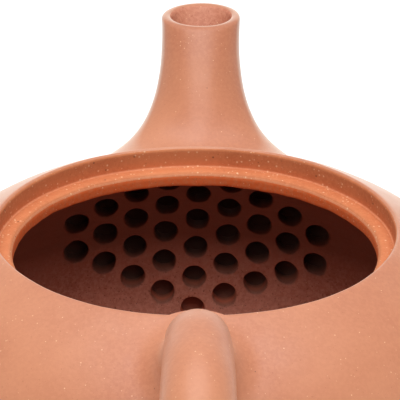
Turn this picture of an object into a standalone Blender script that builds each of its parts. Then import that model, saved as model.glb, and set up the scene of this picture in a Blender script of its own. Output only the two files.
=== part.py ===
"""Unglazed clay teapot with a recessed mouth, a pierced strainer wall, a straight spout and a loose lid.

Metres, +Z up. The origin is the centre of the foot's underside. The spout points along +Y, the
handle along -Y, and the lid stands on its flange beside the pot at +X.
"""
import math

import bmesh
import bpy
from mathutils import Matrix, Vector

# Fits
GAP = 0.0003                    # between pieces that are luted together
LID_CLEARANCE = 0.0004          # round the lid's disc and its flange
CUT_OVERRUN = 0.0020            # how far a cutter runs past what it cuts

# Body of the pot
MOUTH_HEIGHT = 0.0540           # mouth plane above the table
MOUTH_CROWN = 0.0006            # shoulder's unrounded height over the mouth plane at the mouth
EQUATOR_HEIGHT = 0.0313
BELLY_RADIUS = 0.0473
BELLY_FULLNESS = 2.35           # exponent of the belly's outline: 2 is an ellipse
MOUTH_SHARE = 0.63425           # mouth's radius of the belly's
BASE_SHARE = 0.63425            # outer radius where the belly meets the foot, of the belly's
MOUTH_RADIUS = BELLY_RADIUS * MOUTH_SHARE
BASE_RADIUS = BELLY_RADIUS * BASE_SHARE
WALL = 0.0034
SEAM_SHARE = 0.52               # shoulder seam, from the mouth ring (0) to the widest line (1)

# Foot and floor
FOOT_INSET = 0.0012             # foot's side inside the belly's outer radius there
FOOT_HEIGHT = 0.0030
FOOT_ROUND = 0.0007
FLOOR_THICKNESS = 0.0032

# Mouth ring and the ledge that the lid sits on
RIM_WIDTH = 0.0032
RIM_ROUND = 0.0007
SEAT_DEPTH = 0.0029             # from the mouth plane down to the ledge
SEAT_WIDTH = 0.00255            # how far the ledge stands out into the mouth
SEAT_THICKNESS = 0.0024
SEAT_ROUND = 0.0008

# Strainer, punched through the belly wall behind the spout
STRAINER_HOLE = 0.0040
STRAINER_ROW_PITCH = 0.0055
STRAINER_COLUMN_PITCH = 0.00525
STRAINER_BELOW_EQUATOR = 0.0007
STRAINER_SKEW = math.radians(3.0)
STRAINER_COLUMNS = 9
STRAINER_MOST_ROWS = 6
STRAINER_OFF_CENTRE_ROWS = 0.5

# Spout
SPOUT_TIP_RADIUS = 0.0069
SPOUT_TIP_WALL = 0.0017
SPOUT_LIP_ROUND = 0.0006
SPOUT_REACH = 0.0267            # tip centre beyond the belly
SPOUT_TIP_RISE = 0.0076         # tip plane above the mouth plane
SPOUT_SLOPE = math.radians(46.0)
SPOUT_AIM = math.radians(0.64)  # turned a little towards +X, as luted by hand
SPOUT_ROOT_SPREAD = math.radians(61.9)
SPOUT_ROOT_ABOVE_EQUATOR = 0.0037
SPOUT_ROOT_BELOW_MOUTH = 0.0020
SPOUT_ROOT_ABOVE_FLOOR = 0.0070
SPOUT_EDGE = 0.0004             # thickness of the root's feather edge
SPOUT_THROAT_LENGTH = 0.0294    # pull of the straight tube on the flare
SPOUT_THROAT_SHARE = 0.80
SPOUT_SWEEP_SHARE = 1.15
FUNNEL_SPREAD = math.radians(35.0)
FUNNEL_RISE = 0.0125
FUNNEL_DROP = 0.0180

# Handle
HANDLE_THICKNESS = 0.0095
HANDLE_REACH = 0.0272           # centre line beyond the belly
HANDLE_TOP_RISE = 0.0077        # centre line above the mouth plane
HANDLE_LOW_HEIGHT = 0.0155      # lower root above the table
HANDLE_AIM = math.radians(0.35)  # turned a little towards +X
HANDLE_PATH_SHARES = (
    (-0.40, 0.62), (-0.27, 0.80), (-0.08, 0.905), (0.10, 0.972), (0.28, 1.0), (0.50, 1.0),
    (0.70, 0.965), (0.87, 0.87), (0.97, 0.74), (1.0, 0.60), (0.955, 0.44), (0.83, 0.29),
    (0.64, 0.165), (0.40, 0.07), (0.15, 0.015), (-0.10, 0.0), (-0.30, 0.0),
)
HANDLE_THICKNESS_SHARES = (
    1.06, 1.0, 0.94, 0.92, 0.94, 0.98, 1.02, 1.03, 1.03, 1.02, 1.0, 1.0, 0.98, 0.97, 1.0, 1.08, 1.12,
)

# Lid
LID_DOME_RISE = 0.0052          # over the mouth plane at the middle
LID_THICKNESS = 0.0030
LID_EDGE_ROUND = 0.0006
FLANGE_DEPTH = 0.0062
FLANGE_WALL = 0.0024
FLANGE_ROUND = 0.0007
LID_ASIDE = 0.0120              # free space between the belly and the lid that stands beside it
AIR_HOLE = 0.0022
KNOB_RADIUS = 0.0066
KNOB_HEIGHT = 0.0104
KNOB_NECK_RADIUS = 0.0040
KNOB_SEAT_RADIUS = 0.0052
KNOB_NECK_SHARE = 0.26

# Fineness of the faces
TURN_STEPS = 60
KNOB_STEPS = 32
HOLE_STEPS = 12
BELLY_STEPS = 9
SHOULDER_STEPS = 5
ROUND_STEPS = 3
SPOUT_RINGS = 16
SPOUT_SIDES = 32
ROOT_RINGS = 3
TIP_RINGS = 2
HANDLE_BEVEL_RESOLUTION = 3
BASE_STEPS = 2
RIM_STEPS = 2
KNOB_PROFILE_STEPS = 12
SHARP_ANGLE = math.radians(40.0)
MERGE = 0.00001


def clear_scene():
    for item in list(bpy.data.objects):
        bpy.data.objects.remove(item, do_unlink=True)
    for group in list(bpy.data.collections):
        bpy.data.collections.remove(group)


def new_collection(name):
    group = bpy.data.collections.new(name)
    bpy.context.scene.collection.children.link(group)
    return group


def clay(name, colour, roughness):
    material = bpy.data.materials.new(name)
    material.use_nodes = True
    shader = material.node_tree.nodes["Principled BSDF"]
    shader.inputs["Base Color"].default_value = (*colour, 1.0)
    shader.inputs["Roughness"].default_value = roughness
    shader.inputs["Metallic"].default_value = 0.0
    material.diffuse_color = (*colour, 1.0)
    return material


def add_object(name, mesh, group, material=None):
    item = bpy.data.objects.new(name, mesh)
    group.objects.link(item)
    if material is not None:
        mesh.materials.append(material)
    return item


def as_cutter(item):
    item.hide_render = True
    item.display_type = "WIRE"
    return item


def shade(mesh):
    mesh.shade_smooth()
    mesh.set_sharp_from_angle(angle=SHARP_ANGLE)


# Belly outline, as radius and height
def fullness_share(share):
    """Height share of the belly's outline at a share of its greatest radius, or the other way round."""
    inner = max(0.0, 1.0 - min(1.0, abs(share)) ** BELLY_FULLNESS)
    return inner ** (1.0 / BELLY_FULLNESS)


def rim_outer_radius():
    return MOUTH_RADIUS + RIM_WIDTH


def seat_inner_radius():
    return MOUTH_RADIUS - SEAT_WIDTH


def seam_radius():
    return rim_outer_radius() + (BELLY_RADIUS - rim_outer_radius()) * SEAM_SHARE


def upper_rise():
    """Height that the upper half of the belly would reach over the equator at the axis."""
    at_mouth = MOUTH_HEIGHT + MOUTH_CROWN - EQUATOR_HEIGHT
    return at_mouth / fullness_share(MOUTH_RADIUS / BELLY_RADIUS)


def lower_drop():
    """Depth that the lower half of the belly would reach under the equator at the axis."""
    at_foot = EQUATOR_HEIGHT - FOOT_HEIGHT
    return at_foot / fullness_share(BASE_RADIUS / BELLY_RADIUS)


def belly_scale(height):
    return upper_rise() if height >= EQUATOR_HEIGHT else lower_drop()


def belly_radius(height):
    share = (height - EQUATOR_HEIGHT) / belly_scale(height)
    return BELLY_RADIUS * fullness_share(share)


def shoulder_height(radius):
    return EQUATOR_HEIGHT + upper_rise() * fullness_share(radius / BELLY_RADIUS)


def belly_normal(radius, height):
    """Outward direction of the outline, as radius and height."""
    scale = belly_scale(height)
    share = (height - EQUATOR_HEIGHT) / scale
    power = BELLY_FULLNESS - 1.0
    across = (radius / BELLY_RADIUS) ** power / BELLY_RADIUS
    along = math.copysign(abs(share) ** power, share) / scale
    length = math.hypot(across, along)
    return across / length, along / length


def offset_point(point, distance):
    across, along = belly_normal(*point)
    return point[0] + across * distance, point[1] + along * distance


def outline_between(low, high, steps):
    """Points of the belly's outline from one of its points up to another, evenly turned."""
    def turn(point):
        share = (point[1] - EQUATOR_HEIGHT) / belly_scale(point[1])
        return math.asin(max(-1.0, min(1.0, math.copysign(abs(share) ** (BELLY_FULLNESS / 2.0), share))))

    start = turn(low)
    end = turn(high)
    points = []
    for step in range(steps + 1):
        angle = start + (end - start) * step / steps
        share = math.copysign(abs(math.sin(angle)) ** (2.0 / BELLY_FULLNESS), angle)
        height = EQUATOR_HEIGHT + share * (upper_rise() if share >= 0 else lower_drop())
        points.append((BELLY_RADIUS * math.cos(angle) ** (2.0 / BELLY_FULLNESS), height))
    return points


def arc(centre, radius, start, end, steps=ROUND_STEPS):
    """Points of a round corner, with its angles in degrees from the outward radius."""
    points = []
    for step in range(steps + 1):
        angle = math.radians(start + (end - start) * step / steps)
        points.append((centre[0] + radius * math.cos(angle), centre[1] + radius * math.sin(angle)))
    return points


def turned_mesh(name, outline):
    """Mesh of an outline turned round Z. An outline that stays off the axis is a closed loop."""
    mesh = bpy.data.meshes.new(name)
    closed = all(radius > MERGE for radius, _ in outline)
    edges = [(index, index + 1) for index in range(len(outline) - 1)]
    if closed:
        edges.append((len(outline) - 1, 0))
    mesh.from_pydata([(radius, 0.0, height) for radius, height in outline], edges, [])
    return mesh


def turned(name, outline, group, material=None, steps=TURN_STEPS):
    """Solid of revolution: the outline at +X runs down its outer side."""
    item = add_object(name, turned_mesh(name, outline), group, material)
    screw = item.modifiers.new("Turn", "SCREW")
    screw.axis = "Z"
    screw.angle = math.tau
    screw.steps = steps
    screw.render_steps = steps
    screw.use_merge_vertices = True
    screw.merge_threshold = MERGE
    screw.use_smooth_shade = True
    return item


def difference(item, cutter):
    cut = item.modifiers.new("Cut " + cutter.name, "BOOLEAN")
    cut.operation = "DIFFERENCE"
    cut.solver = "EXACT"
    cut.object = cutter
    return cut


# Foot and floor
def make_foot(group, material):
    top = FOOT_HEIGHT - GAP
    radius = BASE_RADIUS - FOOT_INSET
    outline = [(0.0, top), (radius, top)]
    outline += arc((radius - FOOT_ROUND, FOOT_ROUND), FOOT_ROUND, 0, -90)
    outline.append((0.0, 0.0))
    return turned("foot_disc", outline, group, material)


def floor_top():
    return FOOT_HEIGHT + FLOOR_THICKNESS


def make_base_plate(group, material):
    low = (belly_radius(FOOT_HEIGHT), FOOT_HEIGHT)
    high = (belly_radius(floor_top()), floor_top())
    side = outline_between(low, high, BASE_STEPS)
    outline = [(0.0, floor_top())] + side[::-1] + [(0.0, FOOT_HEIGHT)]
    return turned("base_plate", outline, group, material)


# Belly wall
def seam_point(shift):
    """Point of the outline at the shoulder seam, moved along the outline towards the mouth."""
    point = (seam_radius(), shoulder_height(seam_radius()))
    across, along = belly_normal(*point)
    radius = point[0] - along * shift
    return radius, shoulder_height(radius)


def wall_outline():
    foot = floor_top() + GAP
    low = (belly_radius(foot), foot)
    high = seam_point(-GAP / 2.0)
    outer = outline_between(low, high, BELLY_STEPS)
    inner = [offset_point(point, -WALL) for point in outer]
    inner = [point for point in inner if point[1] > foot + MERGE]
    foot_radius = inner_radius_at(foot)
    return outer[::-1] + [(foot_radius, foot)] + inner


def inner_radius_at(height):
    """Radius of the wall's inner face at a height in the lower half of the belly."""
    low = height - WALL
    high = EQUATOR_HEIGHT
    while high - low > MERGE / 2.0:
        middle = (low + high) / 2.0
        if offset_point((belly_radius(middle), middle), -WALL)[1] < height:
            low = middle
        else:
            high = middle
    return offset_point((belly_radius(high), high), -WALL)[0]


def strainer_places():
    """Azimuth and height of each hole: a hexagonal field, punched a little askew."""
    middle = (STRAINER_COLUMNS - 1) / 2.0
    height = EQUATOR_HEIGHT - STRAINER_BELOW_EQUATOR
    places = []
    for column in range(STRAINER_COLUMNS):
        side = column - middle
        rows = STRAINER_MOST_ROWS - int(abs(side))
        for row in range(rows):
            along = side * STRAINER_COLUMN_PITCH
            up = (row - (rows - 1) / 2.0 + STRAINER_OFF_CENTRE_ROWS) * STRAINER_ROW_PITCH
            turned_along = along * math.cos(STRAINER_SKEW) + up * math.sin(STRAINER_SKEW)
            turned_up = up * math.cos(STRAINER_SKEW) - along * math.sin(STRAINER_SKEW)
            places.append((turned_along / (BELLY_RADIUS - WALL), height + turned_up))
    return places


def make_strainer_punch(group):
    """One cutter with a pin for every hole, all parallel to the spout's side."""
    shape = bmesh.new()
    depth = BELLY_RADIUS / 2.0 + CUT_OVERRUN
    for azimuth, height in strainer_places():
        across = (BELLY_RADIUS - WALL) * math.sin(azimuth)
        matrix = Matrix.Translation((across, BELLY_RADIUS + CUT_OVERRUN - depth / 2.0, height))
        matrix = matrix @ Matrix.Rotation(math.pi / 2.0, 4, "X")
        bmesh.ops.create_cone(
            shape, cap_ends=True, segments=HOLE_STEPS, radius1=STRAINER_HOLE / 2.0,
            radius2=STRAINER_HOLE / 2.0, depth=depth, matrix=matrix)
    mesh = bpy.data.meshes.new("strainer_punch")
    shape.to_mesh(mesh)
    shape.free()
    return as_cutter(add_object("strainer_punch", mesh, group))


def make_wall(group, punch, material):
    wall = turned("belly_wall", wall_outline(), group, material)
    difference(wall, punch)
    return wall


# Shoulder, mouth ring and ledge
def make_shoulder(group, punch, material):
    low = seam_point(GAP / 2.0)
    inner_radius = rim_outer_radius() + GAP
    high = (inner_radius, shoulder_height(inner_radius))
    outer = outline_between(low, high, SHOULDER_STEPS)
    inner = [offset_point(point, -WALL) for point in outer]
    inner = [point for point in inner if point[0] > inner_radius + MERGE]
    inner.append((inner_radius, shoulder_height(inner_radius) - WALL))
    slab = turned("shoulder_slab", outer[::-1] + inner, group, material)
    difference(slab, punch)
    return slab


def make_mouth_ring(group, material):
    bottom = MOUTH_HEIGHT - SEAT_DEPTH
    edge_radius = MOUTH_RADIUS + RIM_ROUND
    corner = (edge_radius, shoulder_height(edge_radius) - RIM_ROUND)
    outer_radius = rim_outer_radius()
    low = (outer_radius, shoulder_height(outer_radius))
    high = (edge_radius, shoulder_height(edge_radius))
    top = outline_between(low, high, RIM_STEPS)[::-1]
    outline = arc(corner, RIM_ROUND, 180, 90)[:-1] + top
    outline += [(outer_radius, bottom), (MOUTH_RADIUS, bottom)]
    return turned("mouth_ring", outline, group, material)


def make_lid_seat(group, material):
    """Ledge whose flat top stands free inside the mouth, with a lower step that the mouth ring is luted to."""
    top = MOUTH_HEIGHT - SEAT_DEPTH
    bottom = top - SEAT_THICKNESS
    step_radius = MOUTH_RADIUS - GAP
    centre_radius = seat_inner_radius() + SEAT_ROUND
    outline = arc((centre_radius, top - SEAT_ROUND), SEAT_ROUND, 180, 90)
    outline += [(step_radius, top), (step_radius, top - GAP)]
    outline += [(rim_outer_radius(), top - GAP), (rim_outer_radius(), bottom)]
    outline += arc((centre_radius, bottom + SEAT_ROUND), SEAT_ROUND, -90, -180)
    return turned("lid_seat", outline, group, material)


# Spout
def root_point(azimuth, height, lift):
    """Point on the belly, lifted off it along its normal."""
    radius = belly_radius(height)
    across, along = belly_normal(radius, height)
    out = radius + across * lift
    return Vector((out * math.sin(azimuth), out * math.cos(azimuth), height + along * lift))


def root_normal(azimuth, height):
    across, along = belly_normal(belly_radius(height), height)
    return Vector((across * math.sin(azimuth), across * math.cos(azimuth), along))


def root_height():
    return EQUATOR_HEIGHT + SPOUT_ROOT_ABOVE_EQUATOR


def root_rise():
    return MOUTH_HEIGHT - SPOUT_ROOT_BELOW_MOUTH - root_height()


def root_drop():
    return root_height() - floor_top() - SPOUT_ROOT_ABOVE_FLOOR


def root_ring(spread, rise, drop, lift):
    """Place and normal of each point of an oval on the belly round the spout's root."""
    ring = []
    for side in range(SPOUT_SIDES):
        angle = math.tau * side / SPOUT_SIDES
        azimuth = spread * math.cos(angle)
        reach = rise if math.sin(angle) > 0.0 else drop
        height = root_height() + reach * math.sin(angle)
        ring.append((root_point(azimuth, height, lift), root_normal(azimuth, height)))
    return ring


def tip_centre():
    return Vector((0.0, BELLY_RADIUS + SPOUT_REACH, MOUTH_HEIGHT + SPOUT_TIP_RISE))


def spout_rings(root, tip_radius, throat_radius, tip_drop):
    """Rings of points from the belly to the tip: each line leaves along the belly and ends in the tube."""
    middle = root_point(0.0, root_height(), 0.0)
    direction = Vector((0.0, math.cos(SPOUT_SLOPE), math.sin(SPOUT_SLOPE)))
    square = Vector((0.0, -math.sin(SPOUT_SLOPE), math.cos(SPOUT_SLOPE)))
    rings = [[] for _ in range(SPOUT_RINGS + 1)]
    for side, (start, normal) in enumerate(root):
        angle = math.tau * side / SPOUT_SIDES
        inward = middle - start
        inward -= normal * inward.dot(normal)
        sweep = start + inward * SPOUT_SWEEP_SHARE
        throat = tip_centre() - direction * SPOUT_THROAT_LENGTH
        throat += Vector((throat_radius * math.cos(angle), 0.0, 0.0))
        throat += square * throat_radius * math.sin(angle)
        end = tip_centre() - Vector((0.0, 0.0, tip_drop))
        end += Vector((tip_radius * math.cos(angle), -tip_radius * math.sin(angle), 0.0))
        for ring in range(SPOUT_RINGS + 1):
            share = ring / SPOUT_RINGS
            rest = 1.0 - share
            point = start * rest ** 3 + sweep * 3.0 * share * rest ** 2
            point += throat * 3.0 * share ** 2 * rest + end * share ** 3
            rings[ring].append(point)
    return rings


def lip_ring(radius, drop):
    ring = []
    for side in range(SPOUT_SIDES):
        angle = math.tau * side / SPOUT_SIDES
        place = Vector((radius * math.cos(angle), -radius * math.sin(angle), -drop))
        ring.append(tip_centre() + place)
    return ring


def bridge(shape, rings):
    """Faces between rings in a loop, each ring to the next and the last to the first."""
    points = [[shape.verts.new(place) for place in ring] for ring in rings]
    for index, ring in enumerate(points):
        follower = points[(index + 1) % len(points)]
        for side in range(SPOUT_SIDES):
            after = (side + 1) % SPOUT_SIDES
            shape.faces.new((ring[side], ring[after], follower[after], follower[side]))


def make_spout(group, material):
    bore_radius = SPOUT_TIP_RADIUS - SPOUT_TIP_WALL
    outer_root = root_ring(SPOUT_ROOT_SPREAD, root_rise(), root_drop(), GAP + SPOUT_EDGE)
    inner_root = root_ring(FUNNEL_SPREAD, FUNNEL_RISE, FUNNEL_DROP, GAP)
    throat = SPOUT_TIP_RADIUS * SPOUT_THROAT_SHARE
    bore_throat = bore_radius * SPOUT_THROAT_SHARE
    outer = spout_rings(outer_root, SPOUT_TIP_RADIUS, throat, SPOUT_LIP_ROUND)
    inner = spout_rings(inner_root, bore_radius, bore_throat, SPOUT_LIP_ROUND)
    lip = []
    middle_radius = (SPOUT_TIP_RADIUS + bore_radius) / 2.0
    half_wall = SPOUT_TIP_WALL / 2.0
    for step in range(1, 2 * TIP_RINGS):
        angle = math.pi * step / (2 * TIP_RINGS)
        radius = middle_radius + half_wall * math.cos(angle)
        lip.append(lip_ring(radius, SPOUT_LIP_ROUND * (1.0 - math.sin(angle))))
    landing = []
    for step in range(ROOT_RINGS + 1):
        share = step / ROOT_RINGS
        spread = FUNNEL_SPREAD + (SPOUT_ROOT_SPREAD - FUNNEL_SPREAD) * share
        rise = FUNNEL_RISE + (root_rise() - FUNNEL_RISE) * share
        drop = FUNNEL_DROP + (root_drop() - FUNNEL_DROP) * share
        landing.append([place for place, _ in root_ring(spread, rise, drop, GAP)])
    shape = bmesh.new()
    bridge(shape, outer + lip + inner[:0:-1] + landing)
    bmesh.ops.recalc_face_normals(shape, faces=shape.faces)
    bmesh.ops.rotate(
        shape, verts=shape.verts, cent=(0.0, 0.0, 0.0), matrix=Matrix.Rotation(-SPOUT_AIM, 3, "Z"))
    mesh = bpy.data.meshes.new("spout")
    shape.to_mesh(mesh)
    shape.free()
    shade(mesh)
    return add_object("spout", mesh, group, material)


# Handle
def handle_points():
    """Centre line of the handle, from its upper root over the crest to its lower root."""
    low = HANDLE_LOW_HEIGHT
    high = MOUTH_HEIGHT + HANDLE_TOP_RISE
    places = []
    for reach, rise in HANDLE_PATH_SHARES:
        back = BELLY_RADIUS + reach * HANDLE_REACH
        places.append(Vector((0.0, -back, low + (high - low) * rise)))
    return places


def make_envelope(group):
    """The belly's outer form with the luting gap, which trims what is fixed to it."""
    foot = (belly_radius(FOOT_HEIGHT), FOOT_HEIGHT)
    mouth = (MOUTH_RADIUS, shoulder_height(MOUTH_RADIUS))
    side = [offset_point(point, GAP) for point in outline_between(foot, mouth, 2 * BELLY_STEPS)]
    outline = [(0.0, side[-1][1])] + side[::-1] + [(0.0, side[0][1])]
    return as_cutter(turned("body_envelope", outline, group))


def make_handle(group, cutters, material):
    data = bpy.data.curves.new("handle_line", "CURVE")
    data.dimensions = "3D"
    data.bevel_depth = HANDLE_THICKNESS / 2.0
    data.bevel_resolution = HANDLE_BEVEL_RESOLUTION
    data.use_fill_caps = True
    data.twist_mode = "MINIMUM"
    line = data.splines.new("POLY")
    places = handle_points()
    line.points.add(len(places) - 1)
    for point, place, share in zip(line.points, places, HANDLE_THICKNESS_SHARES):
        point.co = (*place, 1.0)
        point.radius = share
    curve = bpy.data.objects.new("handle_line", data)
    cutters.objects.link(curve)
    graph = bpy.context.evaluated_depsgraph_get()
    mesh = bpy.data.meshes.new_from_object(curve.evaluated_get(graph))
    mesh.name = "handle"
    shape = bmesh.new()
    shape.from_mesh(mesh)
    bmesh.ops.remove_doubles(shape, verts=shape.verts, dist=MERGE)
    bmesh.ops.recalc_face_normals(shape, faces=shape.faces)
    shape.to_mesh(mesh)
    shape.free()
    shade(mesh)
    handle = add_object("handle", mesh, group, material)
    handle.matrix_world = Matrix.Rotation(HANDLE_AIM, 4, "Z") @ curve.matrix_world
    bpy.data.objects.remove(curve, do_unlink=True)
    difference(handle, make_envelope(cutters))
    return handle


# Lid, drawn about its own axis with the underside of its disc at height zero
def lid_place():
    radius = MOUTH_RADIUS - LID_CLEARANCE
    return Vector((BELLY_RADIUS + LID_ASIDE + radius, 0.0, FLANGE_DEPTH))


def disc_radius():
    return MOUTH_RADIUS - LID_CLEARANCE


def flange_radius():
    return seat_inner_radius() - LID_CLEARANCE


def make_lid_disc(group, material, holder):
    radius = disc_radius()
    bore = AIR_HOLE / 2.0
    flange_inner = flange_radius() - FLANGE_WALL
    steps = BELLY_STEPS
    top = []
    for step in range(steps + 1):
        across = bore + (radius - LID_EDGE_ROUND - bore) * step / steps
        top.append((across, lid_top_at(across)))
    under = []
    for step in range(steps):
        across = flange_inner + (bore - flange_inner) * step / (steps - 1)
        fall = 1.0 - (across / flange_inner) ** 2
        height = SEAT_DEPTH + LID_DOME_RISE - LID_THICKNESS
        under.append((across, height * fall))
    edge = arc((radius - LID_EDGE_ROUND, SEAT_DEPTH - LID_EDGE_ROUND), LID_EDGE_ROUND, 60, 0)
    outline = top + edge[1:] + [(radius, 0.0)] + under
    disc = turned("lid_disc", outline, group, material)
    disc.parent = holder
    return disc


def make_lid_flange(group, material, holder):
    outer = flange_radius()
    inner = outer - FLANGE_WALL
    bottom = -FLANGE_DEPTH
    outline = [(outer, -GAP)]
    outline += arc((outer - FLANGE_ROUND, bottom + FLANGE_ROUND), FLANGE_ROUND, 0, -90)
    outline += arc((inner + FLANGE_ROUND, bottom + FLANGE_ROUND), FLANGE_ROUND, -90, -180)
    outline.append((inner, -GAP))
    flange = turned("lid_flange", outline, group, material)
    flange.parent = holder
    return flange


def lid_top_at(across):
    fall = 1.0 - (across / disc_radius()) ** 2
    return SEAT_DEPTH - LID_EDGE_ROUND / 2.0 + LID_DOME_RISE * fall


def make_lid_knob(group, material, holder):
    bore = AIR_HOLE / 2.0
    foot = lid_top_at(bore) + GAP
    neck = foot + KNOB_HEIGHT * KNOB_NECK_SHARE
    ball = (foot + KNOB_HEIGHT - neck) / 2.0
    centre = neck + ball
    start = math.degrees(math.acos(bore / KNOB_RADIUS))
    end = -math.degrees(math.acos(KNOB_NECK_RADIUS / KNOB_RADIUS))
    outline = []
    for step in range(KNOB_PROFILE_STEPS + 1):
        angle = math.radians(start + (end - start) * step / KNOB_PROFILE_STEPS)
        outline.append((KNOB_RADIUS * math.cos(angle), centre + ball * math.sin(angle)))
    outline.append((KNOB_SEAT_RADIUS, foot))
    outline.append((bore, foot))
    knob = turned("lid_knob", outline, group, material, KNOB_STEPS)
    knob.parent = holder
    return knob


def make_lid(group, material):
    holder = bpy.data.objects.new("lid_axis", None)
    group.objects.link(holder)
    holder.location = lid_place()
    make_lid_disc(group, material, holder)
    make_lid_flange(group, material, holder)
    make_lid_knob(group, material, holder)


def main():
    clear_scene()
    group = new_collection("teapot")
    cutters = new_collection("cutters")
    outside = clay("red_clay", (0.60, 0.25, 0.145), 0.55)
    ledge = clay("red_clay_ledge", (0.66, 0.28, 0.15), 0.5)
    ground = clay("red_clay_foot", (0.50, 0.20, 0.12), 0.7)
    make_foot(group, ground)
    make_base_plate(group, ground)
    punch = make_strainer_punch(cutters)
    make_wall(group, punch, outside)
    make_shoulder(group, punch, outside)
    make_mouth_ring(group, outside)
    make_lid_seat(group, ledge)
    make_spout(group, outside)
    make_handle(group, cutters, outside)
    make_lid(group, outside)


main()
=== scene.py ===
"""Dressed model of a small unglazed clay teapot with its lid off. Metres, +Z up."""
import math

import bmesh
import bpy
import numpy as np
from mathutils import Matrix, Vector, noise
from mathutils.geometry import delaunay_2d_cdt


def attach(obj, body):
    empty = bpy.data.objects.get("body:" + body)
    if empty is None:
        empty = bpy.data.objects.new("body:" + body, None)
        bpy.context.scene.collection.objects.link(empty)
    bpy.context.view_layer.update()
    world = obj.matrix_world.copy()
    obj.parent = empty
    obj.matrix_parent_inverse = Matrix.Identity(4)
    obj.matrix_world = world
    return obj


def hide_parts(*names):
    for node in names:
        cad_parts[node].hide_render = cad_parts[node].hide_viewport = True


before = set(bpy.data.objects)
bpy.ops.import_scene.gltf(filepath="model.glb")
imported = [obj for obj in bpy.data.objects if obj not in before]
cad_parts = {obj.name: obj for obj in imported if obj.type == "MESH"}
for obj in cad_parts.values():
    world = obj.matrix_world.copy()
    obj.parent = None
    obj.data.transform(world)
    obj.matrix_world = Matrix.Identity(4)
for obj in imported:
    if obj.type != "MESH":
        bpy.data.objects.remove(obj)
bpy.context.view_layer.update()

# Sizes of the pot, as in its solids
MOUTH_HEIGHT = 0.0540
MOUTH_RADIUS = 0.0300
MOUTH_CROWN = 0.0006
EQUATOR_HEIGHT = 0.0313
BELLY_RADIUS = 0.0473
BELLY_FULLNESS = 2.35
BASE_RADIUS = 0.0300
WALL = 0.0034
FOOT_INSET = 0.0012
FOOT_HEIGHT = 0.0030
FOOT_ROUND = 0.0009
FLOOR_THICKNESS = 0.0032
FLOOR_TOP = FOOT_HEIGHT + FLOOR_THICKNESS
FLOOR_PAINT_DEPTH = 0.0003
RIM_WIDTH = 0.0032
RIM_OUTER_RADIUS = MOUTH_RADIUS + RIM_WIDTH
RIM_ROUND = 0.0006
RIM_COVE = 0.00022
RIM_OVERLAP = 0.0004
RIM_PAINT_SHARE = 0.3
COVE_PAINT_SHARE = 1.3
SEAM = FLOOR_TOP + 0.0001
SHOULDER_INNER_RADIUS = 0.0326
INNER_FACE_START = 0.0045
INNER_FACE_CLEAR = 0.0004
FLOOR_COVE = ((0.0024, 0.0), (0.0011, 0.00008), (0.0004, 0.00028))
SEAT_DEPTH = 0.0029
SEAT_INNER_RADIUS = 0.02745
SEAT_THICKNESS = 0.0024
SEAT_ROUND = 0.0008
SEAT_ROLL = 0.0012
SEAT_LOW_ROUND = 0.0005
SEAT_TRIM_START = 0.0009
SEAT_TRIM_WIDTH = 0.0020
SEAT_TRIM = 0.00032
SEAT_HIGHLIGHT_SHARES = (0.24, 0.52)
STRAINER_HOLE = 0.0040
STRAINER_ROW_PITCH = 0.0055
STRAINER_COLUMN_PITCH = 0.00525
STRAINER_BELOW_EQUATOR = 0.0007
STRAINER_SKEW = math.radians(3.0)
STRAINER_COLUMNS = 9
STRAINER_MOST_ROWS = 6
STRAINER_OFF_CENTRE_ROWS = 0.5
HOLE_SOFTENING = 0.00026
HOLE_WANDER = 0.075
SPOUT_TIP_RADIUS = 0.0069
SPOUT_TIP_WALL = 0.0017
SPOUT_LIP_DROP = 0.0007
SPOUT_LIP_BULGE = 0.0010
SPOUT_REACH = 0.0267
SPOUT_TIP_RISE = 0.0076
SPOUT_SLOPE = math.radians(46.0)
SPOUT_AIM = math.radians(0.64)
SPOUT_ROOT_SPREAD = math.radians(61.9)
SPOUT_ROOT_ABOVE_EQUATOR = 0.0037
SPOUT_ROOT_BELOW_MOUTH = 0.0020
SPOUT_ROOT_ABOVE_FLOOR = 0.0070
SPOUT_THROAT_LENGTH = 0.0294
SPOUT_THROAT_SHARE = 0.80
SPOUT_SWEEP_SHARE = 1.15
SPOUT_LANDING_SINK = 0.0003
ROOT_SINK = 0.000004
FUNNEL_SPREAD = math.radians(35.0)
FUNNEL_RISE = 0.0125
FUNNEL_DROP = 0.0180
HANDLE_THICKNESS = 0.0095
HANDLE_REACH = 0.0272
HANDLE_TOP_RISE = 0.0077
HANDLE_LOW_HEIGHT = 0.0155
HANDLE_AIM = math.radians(0.35)
HANDLE_ROOT_CLEAR = 0.0052
HANDLE_ROOT_SPREAD = 0.0046
HANDLE_ROOT_SINK = 0.0012
ROOT_SEARCH_LIFT = 0.0040
ROOT_SEARCH_REACH = 0.0200
HANDLE_FLARE_PULLS = (0.40, 0.52)
HANDLE_PATH_SHARES = (
    (-0.40, 0.62), (-0.27, 0.80), (-0.08, 0.905), (0.10, 0.972), (0.28, 1.0), (0.50, 1.0),
    (0.70, 0.965), (0.87, 0.87), (0.97, 0.74), (1.0, 0.60), (0.955, 0.44), (0.83, 0.29),
    (0.64, 0.165), (0.40, 0.07), (0.15, 0.015), (-0.10, 0.0), (-0.30, 0.0),
)
HANDLE_THICKNESS_SHARES = (
    1.06, 1.0, 0.94, 0.92, 0.94, 0.98, 1.02, 1.03, 1.03, 1.02, 1.0, 1.0, 0.98, 0.97, 1.0, 1.08, 1.12,
)
LID_CLEARANCE = 0.0004
LID_DOME_RISE = 0.0052
LID_THICKNESS = 0.0030
LID_EDGE_ROUND = 0.0006
LID_LOW_ROUND = 0.0004
LID_ASIDE = 0.0120
FLANGE_DEPTH = 0.0062
FLANGE_WALL = 0.0024
FLANGE_ROUND = 0.0007
AIR_HOLE = 0.0022
KNOB_RADIUS = 0.0066
KNOB_HEIGHT = 0.0104
KNOB_NECK_RADIUS = 0.0040
KNOB_SEAT_RADIUS = 0.0052
KNOB_NECK_SHARE = 0.26
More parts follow.
